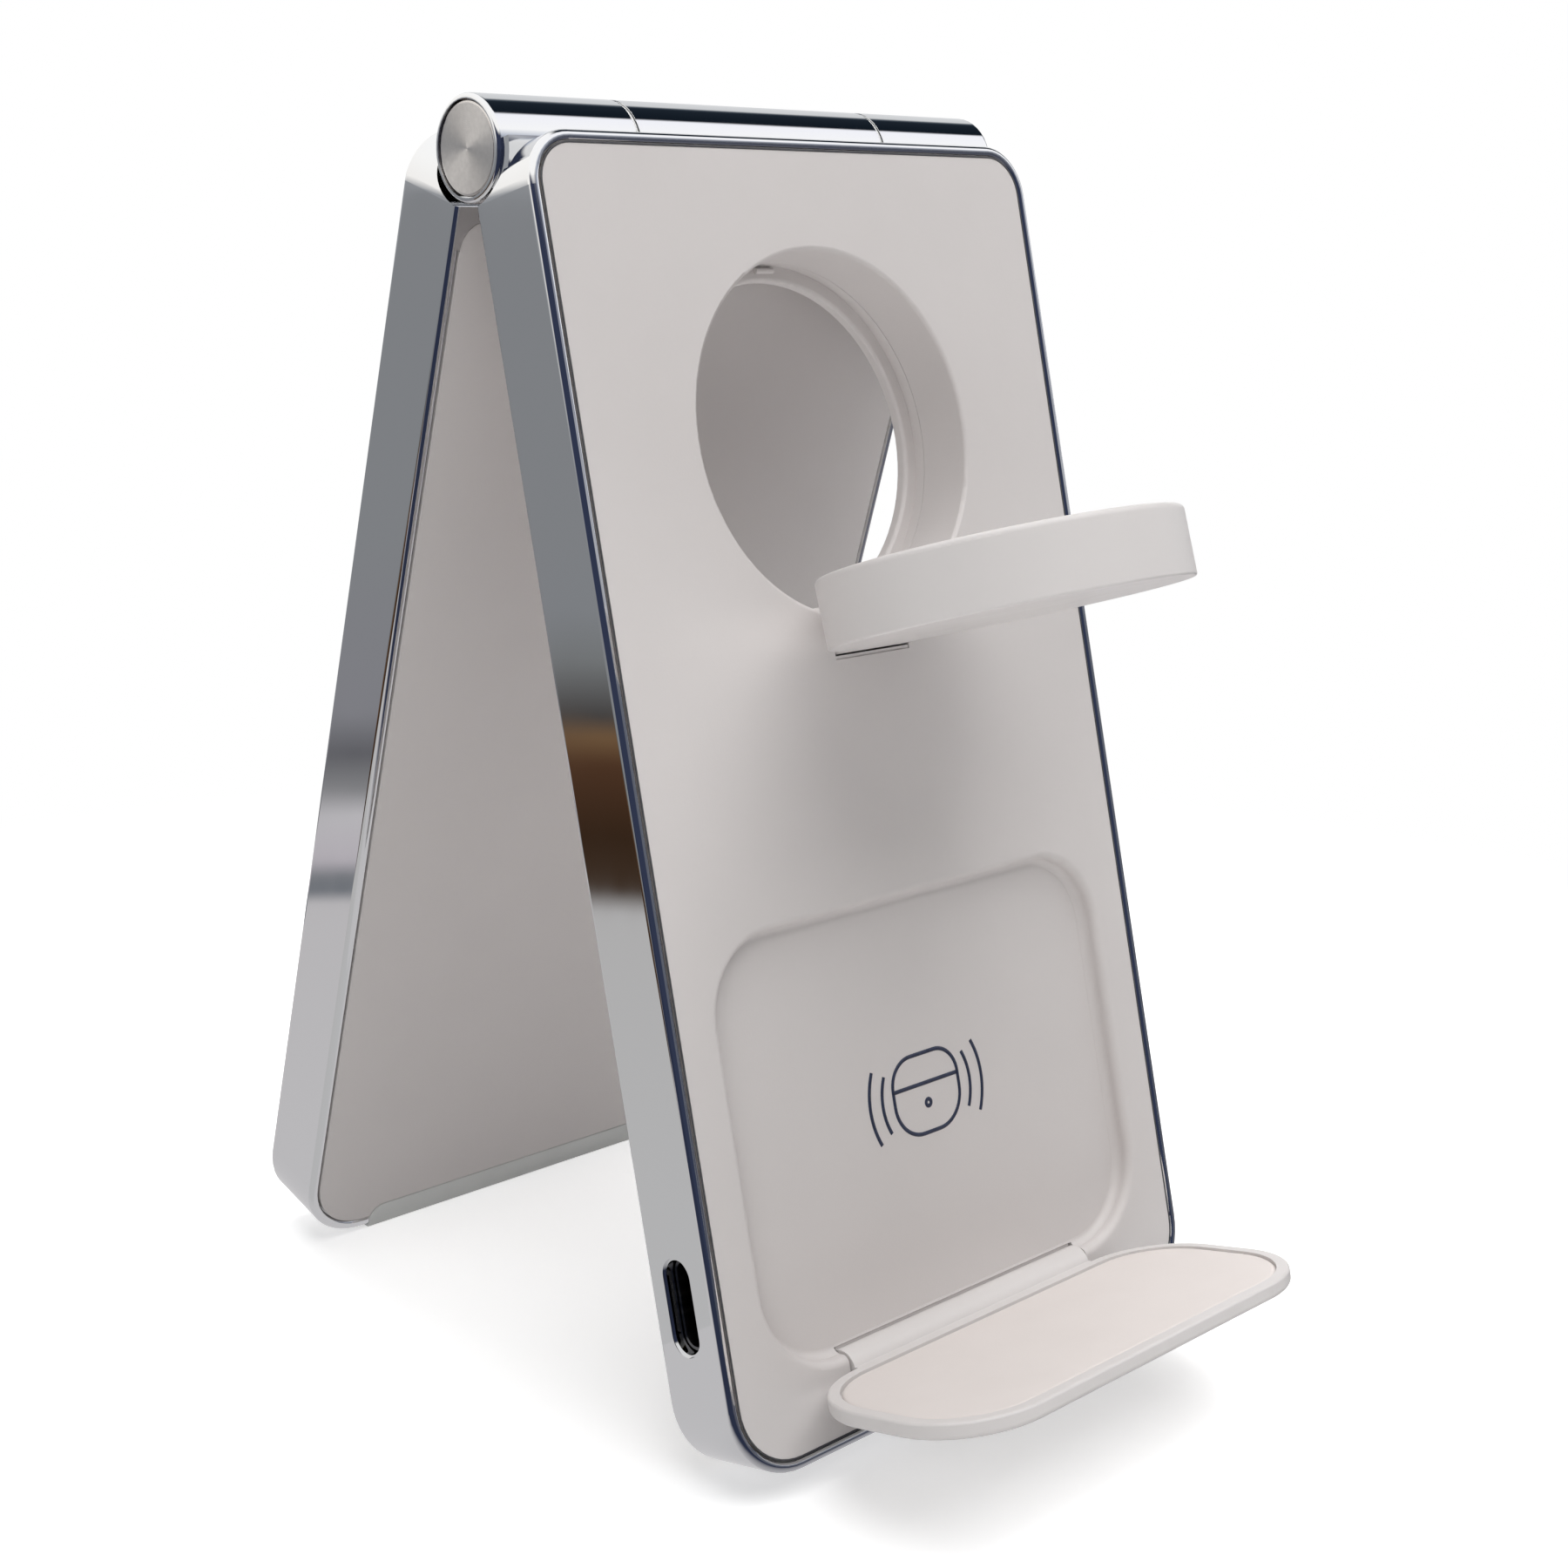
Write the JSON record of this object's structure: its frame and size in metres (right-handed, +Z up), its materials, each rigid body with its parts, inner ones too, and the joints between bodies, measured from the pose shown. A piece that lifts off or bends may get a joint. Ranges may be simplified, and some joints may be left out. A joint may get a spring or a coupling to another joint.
{
  "type": "folding wireless charging station",
  "caption": "Folding stand with two chrome framed legs on a barrel hinge, a flip-out round charging disc in a through hole and a drop-down shelf.",
  "frame": {"origin": "on the table, midway between the left and right sides and between the opened shelf's front edge and the rear leg's foot, with both legs standing open", "axes": "+Z up; +X from the side with the power inlet to the other side, along the hinge; +Y from the disc and shelf towards the phone side"},
  "size_m": [0.068, 0.1066, 0.1293],
  "materials": {
    "chrome": "mirror-bright plating",
    "brushed_cap": "spun with concentric lines",
    "white_cover": "fine matt white moulding",
    "shelf_white": "smooth satin white moulding",
    "soft_pad": "soft matt warm white silicone",
    "foot_grey": "soft matt grey silicone",
    "steel": "ground steel",
    "copper": "enamelled copper winding",
    "ferrite": "dull dark ferrite sheet",
    "magnet": "nickel plated magnet",
    "board_green": "solder mask",
    "tongue_black": "moulded contact tongue",
    "washer_white": "slippery white spacer"
  },
  "bodies": {
    "front_leg": {"front_frame": "chrome", "front_cover": "white_cover", "front_inner_cover": "white_cover", "front_board": "board_green", "front_screws": "steel", "usb_shell": "steel", "usb_tongue": "tongue_black", "earbud_coil": "copper", "earbud_ferrite": "ferrite", "front_foot": "foot_grey", "hinge_shaft": "steel", "hinge_washers": "washer_white", "left_cap": "brushed_cap", "right_cap": "brushed_cap", "disc_pin": "steel", "shelf_pin": "steel"},
    "watch_disc": {"disc_shell": "shelf_white", "disc_face": "white_cover", "disc_coil": "copper", "disc_ferrite": "ferrite", "disc_magnet": "magnet"},
    "shelf": {"shelf_flap": "shelf_white", "shelf_pad": "soft_pad"},
    "rear_leg": {"rear_frame": "chrome", "rear_inner_cover": "white_cover", "rear_outer_cover": "white_cover", "rear_screws": "steel", "phone_pad": "soft_pad", "phone_coil": "copper", "phone_ferrite": "ferrite", "magnet_ring": "magnet", "rear_foot": "foot_grey"}
  },
  "joints": [
    {"name": "leg_fold", "type": "hinge", "parent": "front_leg", "child": "rear_leg", "pos_m": [0, 0.01111, 0.12427], "axis": [1, 0, 0], "range_deg": [-30.3, 149.7]},
    {"name": "disc_flip", "type": "hinge", "parent": "front_leg", "child": "watch_disc", "pos_m": [0, -0.00929, 0.07727], "axis": [1, 0, 0], "range_deg": [-86.2, 0]},
    {"name": "shelf_drop", "type": "hinge", "parent": "front_leg", "child": "shelf", "pos_m": [0, -0.02786, 0.00905], "axis": [1, 0, 0], "range_deg": [-90, 0]}
  ]
}
